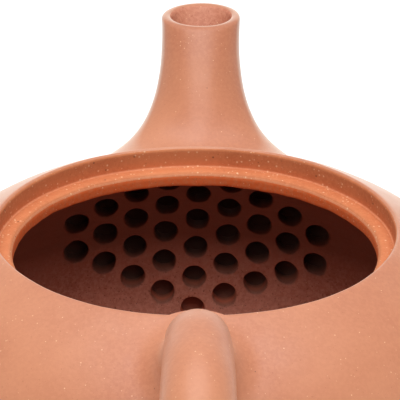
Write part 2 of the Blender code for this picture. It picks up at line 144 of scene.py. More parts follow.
KNOB_FLARE_RADIUS = KNOB_SEAT_RADIUS + 0.0008
KNOB_WAIST = 0.0005
KNOB_SEAT_SINK = 0.0002
KNOB_BORE_EDGE = 0.0003

# Hand-made unevenness of the surface
WANDER_SEED = 5
SLOW_WANDER = 0.00022
FINE_WANDER = 0.00004

# Fineness of the meshes
TURN_STEPS = 240
LID_STEPS = 192
KNOB_STEPS = 96
HOLE_SIDES = 28
HOLE_ROUNDING_RINGS = 4
STRAINER_PATCH_COLUMNS = 24
STRAINER_PATCH_FOOT = 0.0142
STRAINER_PATCH_CLEAR = 0.0004
SPOUT_SIDES = 120
SPOUT_RINGS = 70
HANDLE_SIDES = 48
HANDLE_RINGS = 120
FLARE_RINGS = 20
LIP_RINGS = 12
LANDING_RINGS = 5
BORE_RINGS = 26
SEAT_ROLL_STEPS = 18

# Unrolled view of the wall, in millimetres, for cutting the holes
UNROLL_RADIUS = 38.0
MILLIMETRES = 1000.0

# Clay colours, linear. Each set of tones is the base, the light and the deep one
BODY_TONES = ((0.590, 0.218, 0.108), (0.690, 0.285, 0.146), (0.450, 0.135, 0.062))
BORE_TONES = ((0.520, 0.170, 0.090), (0.700, 0.300, 0.180), (0.380, 0.085, 0.040))
# The inside's deep tone is also painted as shade over the upper inner wall
INSIDE_TONES = ((0.720, 0.275, 0.185), (0.860, 0.420, 0.310), (0.168, 0.053, 0.031))
RIM_TONES = ((0.680, 0.220, 0.092), (0.780, 0.290, 0.128), (0.500, 0.130, 0.048))
UNDER_TONES = ((0.850, 0.140, 0.028), RIM_TONES[0], RIM_TONES[2])
# Painted highlight: pale lines at the ledge's outer corner and high on its inner roll
PAINTED_HIGHLIGHT_TONES = ((0.740, 0.262, 0.124), (0.850, 0.365, 0.195), RIM_TONES[0])
# Painted shade: the tint that darkens the spout
SPOUT_SHADE_PAINT = (0.905, 0.885, 0.855)
# Painted shade in the strainer holes and the funnel behind them, and painted light on the lower holes'
# walls
HOLE_SHADE_PAINT = (0.130, 0.062, 0.045)
TUBE_LIGHT_PAINT = (0.980, 0.300, 0.170)
# Painted reflection: the pale colour that edges seen at a grazing angle turn to
EDGE_REFLECTION_PAINT = (0.950, 0.740, 0.600)
SPECK_PALE = (0.930, 0.620, 0.380)
SPECK_DARK = (0.160, 0.050, 0.028)

# Room and viewpoint
AMBIENT = 0.40
FLOOR_GREY = 0.74
FLOOR_HALF_SIZE = 2.5
GLOW_DISTANCE = (0.2, 1.0)
GLOW_STRENGTH = (0.40, 0.85)
CAMERA_PLACE = (0.0, -0.32742, 0.20246)
CAMERA_LENS = 216.0
CAMERA_YAW = math.radians(-0.0963)
CAMERA_PITCH = math.radians(0.6530)
CAMERA_ROLL = math.radians(-0.2684)
LIT_PLACE = (0.0, 0.0, 0.04)


def mix(a, b, share):
    return a + (b - a) * share


# Outline of the belly, as radius and height
def fullness_share(share):
    inner = max(0.0, 1.0 - min(1.0, abs(share)) ** BELLY_FULLNESS)
    return inner ** (1.0 / BELLY_FULLNESS)


CROWN_RISE = MOUTH_HEIGHT + MOUTH_CROWN - EQUATOR_HEIGHT
UPPER_RISE = CROWN_RISE / fullness_share(MOUTH_RADIUS / BELLY_RADIUS)
LOWER_DROP = (EQUATOR_HEIGHT - FOOT_HEIGHT) / fullness_share(BASE_RADIUS / BELLY_RADIUS)


def belly_scale(height):
    return UPPER_RISE if height >= EQUATOR_HEIGHT else LOWER_DROP


def belly_radius(height):
    return BELLY_RADIUS * fullness_share((height - EQUATOR_HEIGHT) / belly_scale(height))


def shoulder_height(radius):
    return EQUATOR_HEIGHT + UPPER_RISE * fullness_share(radius / BELLY_RADIUS)


def belly_normal(radius, height):
    scale = belly_scale(height)
    share = (height - EQUATOR_HEIGHT) / scale
    power = BELLY_FULLNESS - 1.0
    across = (radius / BELLY_RADIUS) ** power / BELLY_RADIUS
    along = math.copysign(abs(share) ** power, share) / scale
    length = math.hypot(across, along)
    return across / length, along / length


def offset_point(point, distance):
    across, along = belly_normal(*point)
    return point[0] + across * distance, point[1] + along * distance


def outline_between(low, high, steps):
    def turn(point):
        share = (point[1] - EQUATOR_HEIGHT) / belly_scale(point[1])
        sine = math.copysign(abs(share) ** (BELLY_FULLNESS / 2.0), share)
        return math.asin(max(-1.0, min(1.0, sine)))

    start = turn(low)
    end = turn(high)
    points = []
    for step in range(steps + 1):
        angle = mix(start, end, step / steps)
        share = math.copysign(abs(math.sin(angle)) ** (2.0 / BELLY_FULLNESS), angle)
        height = EQUATOR_HEIGHT + share * (UPPER_RISE if share >= 0 else LOWER_DROP)
        points.append((BELLY_RADIUS * math.cos(angle) ** (2.0 / BELLY_FULLNESS), height))
    return points


def arc(centre, radius, start, end, steps=6):
    points = []
    for step in range(steps + 1):
        angle = math.radians(mix(start, end, step / steps))
        points.append((centre[0] + radius * math.cos(angle), centre[1] + radius * math.sin(angle)))
    return points


def stretch(start, end, steps):
    """Points of a straight line, without its first."""
    shares = [step / steps for step in range(1, steps + 1)]
    return [(mix(start[0], end[0], share), mix(start[1], end[1], share)) for share in shares]


# The potter's hand: one slow wander of the whole surface, the same for pieces that meet
noise.seed_set(WANDER_SEED)


def worked(place, amount):
    slow = noise.noise_vector(place * 42.0) * SLOW_WANDER
    fine = noise.noise_vector(place * 190.0 + Vector((3.1, 7.7, 1.9))) * FINE_WANDER
    return place + (slow + fine) * amount


def finish_mesh(name, verts, faces, amount=1.0, sharp=50.0):
    mesh = bpy.data.meshes.new(name)
    mesh.from_pydata([worked(Vector(v), amount) for v in verts], [], faces)
    shape = bmesh.new()
    shape.from_mesh(mesh)
    loose = [v for v in shape.verts if not v.link_faces]
    bmesh.ops.delete(shape, geom=loose, context="VERTS")
    bmesh.ops.recalc_face_normals(shape, faces=shape.faces)
    shape.to_mesh(mesh)
    shape.free()
    mesh.shade_smooth()
    mesh.set_sharp_from_angle(angle=math.radians(sharp))
    return mesh


def add_piece(name, mesh, body, nodes, materials):
    piece = bpy.data.objects.new(name, mesh)
    bpy.context.scene.collection.objects.link(piece)
    for material in materials:
        mesh.materials.append(material)
    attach(piece, body)
    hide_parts(*nodes)


def paint_inside(mesh, is_inside):
    """Gives the faces that the test picks the second material."""
    for face in mesh.polygons:
        face.material_index = int(is_inside(face.center))


def paint_bands(mesh, outline, steps, pick):
    """Gives each band of a turned form the material that its middle radius and height call for."""
    numbers = []
    for (radius_a, height_a), (radius_b, height_b) in zip(outline, outline[1:] + outline[:1]):
        numbers.append(pick((radius_a + radius_b) / 2.0, (height_a + height_b) / 2.0))
    for face in mesh.polygons:
        face.material_index = numbers[face.index // steps]


def turned(outline, steps, closed, centre=(0.0, 0.0)):
    """Vertices and faces of an outline turned round a vertical axis. Points on the axis become poles."""
    verts = []
    rows = []
    for radius, height in outline:
        if radius < 1e-7:
            rows.append([len(verts)])
            verts.append((centre[0], centre[1], height))
            continue
        rows.append(list(range(len(verts), len(verts) + steps)))
        for step in range(steps):
            angle = math.tau * step / steps
            x = centre[0] + radius * math.sin(angle)
            y = centre[1] + radius * math.cos(angle)
            verts.append((x, y, height))
    faces = []
    pairs = list(zip(rows, rows[1:]))
    if closed:
        pairs.append((rows[-1], rows[0]))
    for low, high in pairs:
        for step in range(steps):
            after = (step + 1) % steps
            if len(low) == 1 and len(high) > 1:
                faces.append((low[0], high[step], high[after]))
            elif len(high) == 1 and len(low) > 1:
                faces.append((low[step], low[after], high[0]))
            elif len(low) > 1:
                faces.append((low[step], low[after], high[after], high[step]))
    return verts, faces


# Body shell, with the strainer
def strainer_places():
    """Where each hole's axis stands, across and up."""
    middle = (STRAINER_COLUMNS - 1) / 2.0
    height = EQUATOR_HEIGHT - STRAINER_BELOW_EQUATOR
    places = []
    for column in range(STRAINER_COLUMNS):
        side = column - middle
        rows = STRAINER_MOST_ROWS - int(abs(side))
        for row in range(rows):
            along = side * STRAINER_COLUMN_PITCH
            up = (row - (rows - 1) / 2.0 + STRAINER_OFF_CENTRE_ROWS) * STRAINER_ROW_PITCH
            turned_along = along * math.cos(STRAINER_SKEW) + up * math.sin(STRAINER_SKEW)
            turned_up = up * math.cos(STRAINER_SKEW) - along * math.sin(STRAINER_SKEW)
            across = (BELLY_RADIUS - WALL) * math.sin(turned_along / (BELLY_RADIUS - WALL))
            places.append((across, height + turned_up))
    return places


def table_of(rows):
    """Lookup of a wall face by height: heights, radii and lengths along it, all rising."""
    radii = np.array([row[0] for row in rows])
    heights = np.array([row[1] for row in rows])
    steps = np.hypot(np.diff(radii), np.diff(heights))
    return heights, radii, np.concatenate([[0.0], np.cumsum(steps)])


def hole_edge(x, z, size, angle, heights, radii):
    """A place on a punched hole's edge, which wanders from its circle, and the wall's radius there."""
    place = Vector((x * 900.0 + math.cos(angle) * 1.1, z * 900.0 + math.sin(angle) * 1.1, 0.0))
    reach = 1.0 + noise.noise(place) * HOLE_WANDER
    across = x + size * reach * math.cos(angle)
    height = z + size * reach * math.sin(angle)
    return across, height, float(np.interp(height, heights, radii))


def hole_ring(verts, x, z, size, heights, radii, depth):
    members = []
    for k in range(HOLE_SIDES):
        across, height, around = hole_edge(x, z, size, math.tau * k / HOLE_SIDES, heights, radii)
        verts.append((across, math.sqrt(around ** 2 - across ** 2) + depth, height))
        members.append(len(verts) - 1)
    return members


def make_body_shell(materials):
    """Outer and inner faces turned in one. Behind the spout a patch of each makes way for the strainer."""
    rim_point = (RIM_OUTER_RADIUS, shoulder_height(RIM_OUTER_RADIUS))
    outer = outline_between((belly_radius(SEAM), SEAM), rim_point, 84)
    start = (belly_radius(INNER_FACE_START), INNER_FACE_START)
    end = (SHOULDER_INNER_RADIUS, shoulder_height(SHOULDER_INNER_RADIUS))
    inner = [offset_point(point, -WALL) for point in outline_between(start, end, 88)]
    inner = [point for point in inner if point[1] > FLOOR_TOP + INNER_FACE_CLEAR]
    cove = [(inner[0][0] - inset, SEAM + rise) for inset, rise in FLOOR_COVE]
    outline = outer + inner[::-1] + cove[::-1]
    verts, faces = turned(outline, TURN_STEPS, True)
    first_inner = len(outer) + len(inner) - 1
    holes = strainer_places()
    radius = STRAINER_HOLE / 2.0
    dropped = set()
    mouth_rings = []
    inner_face = (inner, first_inner, -1, radius + HOLE_SOFTENING)
    outer_face = (outer, 0, 1, radius)
    for rows, first, step, ring in (inner_face, outer_face):
        heights, radii, lengths = table_of(rows)
        low_row = int(np.searchsorted(heights, STRAINER_PATCH_FOOT))
        high_row = len(rows) - 1
        half_columns = STRAINER_PATCH_COLUMNS
        points = []
        ids = []
        grid = {}
        for row in range(low_row, high_row + 1):
            for column in range(-half_columns, half_columns + 1):
                angle = math.tau * column / TURN_STEPS
                across = rows[row][0] * math.sin(angle)
                border = row in (low_row, high_row) or abs(column) == half_columns
                near = min(math.hypot(across - x, rows[row][1] - z) for x, z in holes)
                if not border and near < ring + STRAINER_PATCH_CLEAR:
                    continue
                grid[(row, column)] = len(points)
                points.append((angle * UNROLL_RADIUS, lengths[row] * MILLIMETRES))
                ids.append(((first + step * row) * TURN_STEPS + column % TURN_STEPS, -1))
        edges = []
        for row in range(low_row, high_row):
            edges.append((grid[(row, -half_columns)], grid[(row + 1, -half_columns)]))
            edges.append((grid[(row, half_columns)], grid[(row + 1, half_columns)]))
        for column in range(-half_columns, half_columns):
            edges.append((grid[(low_row, column)], grid[(low_row, column + 1)]))
            edges.append((grid[(high_row, column)], grid[(high_row, column + 1)]))
        rings = []
        for hole, (x, z) in enumerate(holes):
            start = len(points)
            members = []
            for k in range(HOLE_SIDES):
                across, height, around = hole_edge(x, z, ring, math.tau * k / HOLE_SIDES, heights, radii)
                verts.append((across, math.sqrt(around ** 2 - across ** 2), height))
                members.append(len(verts) - 1)
                along = float(np.interp(height, heights, lengths))
                points.append((math.asin(across / around) * UNROLL_RADIUS, along * MILLIMETRES))
                ids.append((len(verts) - 1, hole))
                edges.append((start + k, start + (k + 1) % HOLE_SIDES))
            rings.append(members)
        mouth_rings.append(rings)
        for row in range(low_row, high_row):
            for column in range(-half_columns, half_columns):
                number = min(first + step * row, first + step * (row + 1))
                dropped.add(number * TURN_STEPS + column % TURN_STEPS)
        result = delaunay_2d_cdt([Vector(p) for p in points], edges, [], 0, 1e-6)
        origin = [group[0] if group else -1 for group in result[3]]
        for face in result[2]:
            members = [ids[origin[v]] for v in face]
            found = {hole for _, hole in members}
            if len(found) == 1 and -1 not in found:
                continue
            faces.append(tuple(number for number, _ in members))
    heights, radii, _ = table_of(inner)
    first_tube = len(faces)
    for hole, (x, z) in enumerate(holes):
        rings = [mouth_rings[0][hole]]
        for turn in range(1, HOLE_ROUNDING_RINGS + 1):
            angle = math.pi / 2.0 * turn / HOLE_ROUNDING_RINGS
            size = radius + HOLE_SOFTENING * (1.0 - math.sin(angle))
            depth = HOLE_SOFTENING * (1.0 - math.cos(angle))
            rings.append(hole_ring(verts, x, z, size, heights, radii, depth))
        inside = rings[-1]
        outside = mouth_rings[1][hole]
        for share in (0.4, 0.75):
            middle = []
            for a, b in zip(inside, outside):
                verts.append(tuple(mix(p, q, share) for p, q in zip(verts[a], verts[b])))
                middle.append(len(verts) - 1)
            rings.append(middle)
        rings.append(outside)
        for ring_a, ring_b in zip(rings, rings[1:]):
            for k in range(HOLE_SIDES):
                after = (k + 1) % HOLE_SIDES
                faces.append((ring_a[k], ring_a[after], ring_b[after], ring_b[k]))
    kept = [face for number, face in enumerate(faces) if number not in dropped]
    mesh = finish_mesh("body_shell", verts, kept)
    paint_inside(mesh, lambda place: belly_level(place + belly_out(place) * WALL / 3.0) < 1.0)
    for face in mesh.polygons[first_tube - len(faces):]:
        face.material_index = 1
    add_piece("body_shell", mesh, "pot", ["belly_wall", "shoulder_slab"], materials)


# Foot, floor, mouth ring and ledge
def make_base(materials):
    side = outline_between((belly_radius(FOOT_HEIGHT), FOOT_HEIGHT), (belly_radius(SEAM), SEAM), 5)
    outline = [(0.0, FOOT_HEIGHT)] + stretch((0.0, FOOT_HEIGHT), side[0], 8) + side[1:]
    outline += stretch(side[-1], (0.0, SEAM), 14)
    verts, faces = turned(outline, TURN_STEPS, False)
    mesh = finish_mesh("base_floor", verts, faces)
    paint_inside(mesh, lambda place: place.z > FLOOR_TOP - FLOOR_PAINT_DEPTH)
    add_piece("base_floor", mesh, "pot", ["base_plate"], materials)
    radius = BASE_RADIUS - FOOT_INSET
    outline = [(0.0, 0.0)] + stretch((0.0, 0.0), (radius - FOOT_ROUND, 0.0), 12)
    outline += arc((radius - FOOT_ROUND, FOOT_ROUND), FOOT_ROUND, -90, 0)[1:]
    outline += stretch((radius, FOOT_ROUND), (radius, FOOT_HEIGHT), 3)
    outline += stretch((radius, FOOT_HEIGHT), (0.0, FOOT_HEIGHT), 6)
    verts, faces = turned(outline, TURN_STEPS, False)
    mesh = finish_mesh("foot_ring", verts, faces, 0.0)
    add_piece("foot_ring", mesh, "pot", ["foot_disc"], materials)


def make_mouth_ring(materials):
    bottom = MOUTH_HEIGHT - SEAT_DEPTH
    edge_radius = MOUTH_RADIUS + RIM_ROUND
    corner = (edge_radius, shoulder_height(edge_radius) - RIM_ROUND)
    low = (RIM_OUTER_RADIUS, shoulder_height(RIM_OUTER_RADIUS))
    high = (edge_radius, shoulder_height(edge_radius))
    outline = outline_between(low, high, 6)
    outline += arc(corner, RIM_ROUND, 90, 180)[1:]
    outline += stretch(outline[-1], (MOUTH_RADIUS, bottom + RIM_COVE), 10)
    outline += arc((MOUTH_RADIUS - RIM_COVE, bottom + RIM_COVE), RIM_COVE, 0, -90, 3)[1:]
    outline += [(MOUTH_RADIUS - RIM_COVE, bottom - RIM_OVERLAP), (RIM_OUTER_RADIUS, bottom - RIM_OVERLAP)]
    verts, faces = turned(outline, TURN_STEPS * 2, True)
    mesh = finish_mesh("mouth_edge", verts, faces)

    def pick(radius, height):
        if radius > MOUTH_RADIUS + RIM_ROUND * RIM_PAINT_SHARE:
            return 0
        # The cove at the ledge's outer corner takes a painted highlight line
        return 2 if height < bottom + RIM_COVE * COVE_PAINT_SHARE else 1

    paint_bands(mesh, outline, TURN_STEPS * 2, pick)
    add_piece("mouth_edge", mesh, "pot", ["mouth_ring"], materials)


def make_lid_seat(materials):
    top = MOUTH_HEIGHT - SEAT_DEPTH
    bottom = top - SEAT_THICKNESS
    centre_radius = SEAT_INNER_RADIUS + SEAT_ROUND
    outline = [(RIM_OUTER_RADIUS, bottom), (RIM_OUTER_RADIUS, top)]
    outline += stretch((RIM_OUTER_RADIUS, top), (centre_radius, top), 6)
    for step in range(1, SEAT_ROLL_STEPS + 1):
        angle = math.pi / 2.0 * (1.0 + step / SEAT_ROLL_STEPS)
        fall = SEAT_ROLL * (1.0 - math.sin(angle))
        outline.append((centre_radius + SEAT_ROUND * math.cos(angle), top - fall))
    corner = (SEAT_INNER_RADIUS + SEAT_LOW_ROUND, bottom + SEAT_LOW_ROUND)
    outline += stretch(outline[-1], (SEAT_INNER_RADIUS, bottom + SEAT_LOW_ROUND), 3)
    outline += arc(corner, SEAT_LOW_ROUND, 180, 270)[1:]
    outline += stretch(outline[-1], (RIM_OUTER_RADIUS, bottom), 4)[:-1]
    verts, faces = turned(outline, TURN_STEPS * 2, True)
    trimmed = []
    for x, y, z in verts:
        radius = math.hypot(x, y)
        low = max(0.0, min(1.0, (top - SEAT_TRIM_START - z) / (SEAT_THICKNESS - SEAT_TRIM_START)))
        near = max(0.0, 1.0 - (radius - SEAT_INNER_RADIUS) / SEAT_TRIM_WIDTH)
        wander = noise.noise(Vector((x, y, 0.0)) * 150.0) * 0.6
        wander += noise.noise(Vector((x, y, 1.0)) * 420.0) * 0.4
        trimmed.append((x, y, z + wander * SEAT_TRIM * low * near))
    mesh = finish_mesh("lid_ledge", trimmed, faces)

    def pick(radius, height):
        fall = (top - height) / SEAT_ROLL
        if radius > centre_radius or fall <= SEAT_HIGHLIGHT_SHARES[0]:
            return 0
        # A band high on the roll takes a painted highlight line, the rest below takes the under clay
        return 2 if fall <= SEAT_HIGHLIGHT_SHARES[1] else 1

    paint_bands(mesh, outline, TURN_STEPS * 2, pick)
    add_piece("lid_ledge", mesh, "pot", ["lid_seat"], materials)


# Spout
def root_point(azimuth, height, lift):
    radius = belly_radius(height)
    across, along = belly_normal(radius, height)
    out = radius + across * lift
    return Vector((out * math.sin(azimuth), out * math.cos(azimuth), height + along * lift))


def root_normal(azimuth, height):
    across, along = belly_normal(belly_radius(height), height)
    return Vector((across * math.sin(azimuth), across * math.cos(azimuth), along))


ROOT_HEIGHT = EQUATOR_HEIGHT + SPOUT_ROOT_ABOVE_EQUATOR
ROOT_RISE = MOUTH_HEIGHT - SPOUT_ROOT_BELOW_MOUTH - ROOT_HEIGHT
ROOT_DROP = ROOT_HEIGHT - FLOOR_TOP - SPOUT_ROOT_ABOVE_FLOOR
TIP = Vector((0.0, BELLY_RADIUS + SPOUT_REACH, MOUTH_HEIGHT + SPOUT_TIP_RISE))


def root_ring(spread, rise, drop, lift):
    ring = []
    for side in range(SPOUT_SIDES):
        angle = math.tau * side / SPOUT_SIDES
        azimuth = spread * math.cos(angle)
        reach = rise if math.sin(angle) > 0.0 else drop
        height = ROOT_HEIGHT + reach * math.sin(angle)
        ring.append((root_point(azimuth, height, lift), root_normal(azimuth, height)))
    return ring


def spout_rings(root, tip_radius, throat_radius, tip_drop):
    middle = root_point(0.0, ROOT_HEIGHT, 0.0)
    direction = Vector((0.0, math.cos(SPOUT_SLOPE), math.sin(SPOUT_SLOPE)))
    square = Vector((0.0, -math.sin(SPOUT_SLOPE), math.cos(SPOUT_SLOPE)))
    rings = [[] for _ in range(SPOUT_RINGS + 1)]
    for side, (start, normal) in enumerate(root):
        angle = math.tau * side / SPOUT_SIDES
        inward = middle - start
        inward -= normal * inward.dot(normal)
        sweep = start + inward * SPOUT_SWEEP_SHARE
        throat = TIP - direction * SPOUT_THROAT_LENGTH
        throat += Vector((throat_radius * math.cos(angle), 0.0, 0.0))
        throat += square * throat_radius * math.sin(angle)
        end = TIP - Vector((0.0, 0.0, tip_drop))
        end += Vector((tip_radius * math.cos(angle), -tip_radius * math.sin(angle), 0.0))
        for ring in range(SPOUT_RINGS + 1):
            share = ring / SPOUT_RINGS
            rest = 1.0 - share
            point = start * rest ** 3 + sweep * 3.0 * share * rest ** 2
            point += throat * 3.0 * share ** 2 * rest + end * share ** 3
            rings[ring].append(point)
    return rings


def loft(rings, closed):
    verts = [point for ring in rings for point in ring]
    sides = len(rings[0])
    faces = []
    pairs = [(k, k + 1) for k in range(len(rings) - 1)]
    if closed:
        pairs.append((len(rings) - 1, 0))
    for low, high in pairs:
        for side in range(sides):
            after = (side + 1) % sides
            corners = ((low, side), (low, after), (high, after), (high, side))
            faces.append(tuple(ring * sides + place for ring, place in corners))
    return verts, faces


def make_spout(materials):
    bore_radius = SPOUT_TIP_RADIUS - SPOUT_TIP_WALL
    outer_root = root_ring(SPOUT_ROOT_SPREAD, ROOT_RISE, ROOT_DROP, -ROOT_SINK)
    inner_root = root_ring(FUNNEL_SPREAD, FUNNEL_RISE, FUNNEL_DROP, 0.0)
    throat = SPOUT_TIP_RADIUS * SPOUT_THROAT_SHARE
    bore_throat = bore_radius * SPOUT_THROAT_SHARE
    outer = spout_rings(outer_root, SPOUT_TIP_RADIUS, throat, SPOUT_LIP_DROP)
    inner = spout_rings(inner_root, bore_radius, bore_throat, SPOUT_LIP_DROP)
    lip = []
    for step in range(1, LIP_RINGS):
        t = step / LIP_RINGS
        r = 1.0 - t
        ring = []
        for side in range(SPOUT_SIDES):
            start = outer[-1][side]
            end = inner[-1][side]
            leave = start + (start - outer[-2][side]).normalized() * SPOUT_LIP_BULGE
            arrive = end + (end - inner[-2][side]).normalized() * SPOUT_LIP_BULGE
            point = start * r ** 3 + leave * 3.0 * t * r * r
            ring.append(point + arrive * 3.0 * t * t * r + end * t ** 3)
        lip.append(ring)
    landing = []
    for step in range(1, LANDING_RINGS):
        share = step / LANDING_RINGS
        spread = mix(FUNNEL_SPREAD, SPOUT_ROOT_SPREAD, share)
        rise = mix(FUNNEL_RISE, ROOT_RISE, share)
        drop = mix(FUNNEL_DROP, ROOT_DROP, share)
        landing.append([place for place, _ in root_ring(spread, rise, drop, -SPOUT_LANDING_SINK)])
    verts, faces = loft(outer + lip + inner[::-1] + landing, True)
    turn = Matrix.Rotation(-SPOUT_AIM, 3, "Z")
    mesh = finish_mesh("spout_clay", [turn @ v for v in verts], faces)
    bore = SPOUT_RINGS + len(lip) - 2
    for face in mesh.polygons:
        ring = face.index // SPOUT_SIDES
        face.material_index = 0 if ring < bore else 1 if ring < bore + BORE_RINGS else 2
    add_piece("spout_clay", mesh, "pot", ["spout"], materials)


# Handle
def belly_level(place):
    """Below one inside the belly's outer form, above one outside it."""
    share = (place.z - EQUATOR_HEIGHT) / belly_scale(place.z)
    return (math.hypot(place.x, place.y) / BELLY_RADIUS) ** BELLY_FULLNESS + abs(share) ** BELLY_FULLNESS


def belly_out(place):
    across, along = belly_normal(max(1e-6, math.hypot(place.x, place.y)), place.z)
    flat = Vector((place.x, place.y, 0.0)).normalized()
    return flat * across + Vector((0.0, 0.0, along))


def onto_belly(place, direction):
    """The point of the belly's outer form on a line through a place."""
    low = -ROOT_SEARCH_REACH
    high = ROOT_SEARCH_REACH
    for _ in range(40):
        middle = (low + high) / 2.0
        if belly_level(place + direction * middle) > 1.0:
            low = middle
        else:
            high = middle
    return place + direction * low


def smooth_line(points, count):
    """Samples of a Catmull-Rom line through points."""
    points = [Vector(p) for p in points]
    points = [points[0] * 2 - points[1]] + points + [points[-1] * 2 - points[-2]]
    spans = len(points) - 3
    result = []
    for step in range(count + 1):
        position = spans * step / count
        span = min(int(position), spans - 1)
        t = position - span
        a, b, c, d = points[span:span + 4]
        result.append((b * 2 + (c - a) * t + (a * 2 - b * 5 + c * 4 - d) * t ** 2
                       + (b * 3 - a - c * 3 + d) * t ** 3) / 2)
    return result


def handle_root(place, ring, along):
    """Rings that flare from the handle's last free ring out onto the belly, and one buried in the wall."""
    centre = onto_belly(place, along)
    normal = belly_out(centre)
    flare = []
    for point in ring:
        foot = onto_belly(point, along)
        spread = foot - centre
        spread -= normal * spread.dot(normal)
        spread.normalize()
        root = onto_belly(foot + spread * HANDLE_ROOT_SPREAD + normal * ROOT_SEARCH_LIFT, -normal)
        out = belly_out(root)
        slide = -(spread - out * spread.dot(out)).normalized()
        flare.append((point, root - out * ROOT_SINK, slide))
    rings = []
    for step in range(1, FLARE_RINGS + 1):
        t = step / FLARE_RINGS
        s = 1.0 - t
        members = []
        for point, root, slide in flare:
            reach = (root - point).length
            a = point + along * reach * HANDLE_FLARE_PULLS[0]
            b = root + slide * reach * HANDLE_FLARE_PULLS[1]
            members.append(point * s ** 3 + a * 3 * s * s * t + b * 3 * s * t * t + root * t ** 3)
        rings.append(members)
    rings.append([root - belly_out(root) * HANDLE_ROOT_SINK for _, root, _ in flare])
    return rings


def make_handle(materials):
    high = MOUTH_HEIGHT + HANDLE_TOP_RISE
    keys = []
    for (reach, rise), thick in zip(HANDLE_PATH_SHARES, HANDLE_THICKNESS_SHARES):
        back = BELLY_RADIUS + reach * HANDLE_REACH
        keys.append((-back, mix(HANDLE_LOW_HEIGHT, high, rise), thick * HANDLE_THICKNESS / 2.0))
    line = smooth_line(keys, HANDLE_RINGS)
    for _ in range(6):
        line = [line[0]] + [(a + b * 2 + c) / 4 for a, b, c in zip(line, line[1:], line[2:])] + [line[-1]]
    places = [Vector((0.0, p[0], p[1])) for p in line]
    outside = [k for k, p in enumerate(places) if belly_level(p - belly_out(p) * HANDLE_ROOT_CLEAR) > 1.0]
    first = outside[0]
    last = outside[-1]
    rings = []
    for k in range(first, last + 1):
        along = (places[k + 1] - places[k - 1]).normalized()
        up = Vector((1.0, 0.0, 0.0)).cross(along)
        ring = []
        for side in range(HANDLE_SIDES):
            angle = math.tau * side / HANDLE_SIDES
            ring.append(places[k] + (Vector((math.cos(angle), 0, 0)) + up * math.sin(angle)) * line[k][2])
        rings.append(ring)
    high_root = handle_root(places[first], rings[0], (places[first - 1] - places[first + 1]).normalized())
    low_root = handle_root(places[last], rings[-1], (places[last + 1] - places[last - 1]).normalized())
    rings = high_root[::-1] + rings + low_root
    verts, faces = loft(rings, False)
    for ring, order in ((0, 1), (len(rings) - 1, -1)):
        start = ring * HANDLE_SIDES
        middle = sum(verts[start:start + HANDLE_SIDES], Vector()) / HANDLE_SIDES
        verts.append(middle)
        for side in range(HANDLE_SIDES):
            after = (side + 1) % HANDLE_SIDES
            pair = (start + after, start + side)
            faces.append((*pair[::order], len(verts) - 1))
    turn = Matrix.Rotation(HANDLE_AIM, 3, "Z")
    mesh = finish_mesh("handle_clay", [turn @ v for v in verts], faces)
    add_piece("handle_clay", mesh, "pot", ["handle"], materials)


# Lid, standing on its flange beside the pot
DISC_RADIUS = MOUTH_RADIUS - LID_CLEARANCE
FLANGE_RADIUS = SEAT_INNER_RADIUS - LID_CLEARANCE
LID_CENTRE = (BELLY_RADIUS + LID_ASIDE + DISC_RADIUS, 0.0)


def lid_top_at(across):
    fall = 1.0 - (across / DISC_RADIUS) ** 2
    return FLANGE_DEPTH + SEAT_DEPTH - LID_EDGE_ROUND / 2.0 + LID_DOME_RISE * fall


def make_lid(outside, underside):
    bore = AIR_HOLE / 2.0
    base = FLANGE_DEPTH
    inner = FLANGE_RADIUS - FLANGE_WALL
    edge = DISC_RADIUS - LID_EDGE_ROUND
    radii = [mix(bore, edge, k / 40.0) for k in range(41)]
    outline = [(radius, lid_top_at(radius)) for radius in radii]
    outline += arc((edge, base + SEAT_DEPTH - LID_EDGE_ROUND), LID_EDGE_ROUND, 72, 0)
    outline += stretch(outline[-1], (DISC_RADIUS, base + LID_LOW_ROUND), 4)
    outline += arc((DISC_RADIUS - LID_LOW_ROUND, base + LID_LOW_ROUND), LID_LOW_ROUND, 0, -90, 4)[1:]
    outline += stretch(outline[-1], (inner, base), 4)
    rise = SEAT_DEPTH + LID_DOME_RISE - LID_THICKNESS
    for k in range(1, 31):
        across = mix(inner, bore, k / 30.0)
        outline.append((across, base + rise * (1.0 - (across / inner) ** 2)))
    verts, faces = turned(outline, LID_STEPS, True, LID_CENTRE)
    mesh = finish_mesh("lid_dome", verts, faces, 0.7)
    add_piece("lid_dome", mesh, "lid", ["lid_disc"], outside)
    outline = [(FLANGE_RADIUS, base)]
    outline += stretch(outline[-1], (FLANGE_RADIUS, FLANGE_ROUND), 5)
    outline += arc((FLANGE_RADIUS - FLANGE_ROUND, FLANGE_ROUND), FLANGE_ROUND, 0, -90)[1:]
    outline += arc((inner + FLANGE_ROUND, FLANGE_ROUND), FLANGE_ROUND, -90, -180)
    outline += stretch(outline[-1], (inner, base), 5)
    verts, faces = turned(outline, LID_STEPS, True, LID_CENTRE)
    mesh = finish_mesh("lid_skirt", verts, faces, 0.5)
    add_piece("lid_skirt", mesh, "lid", ["lid_flange"], underside)


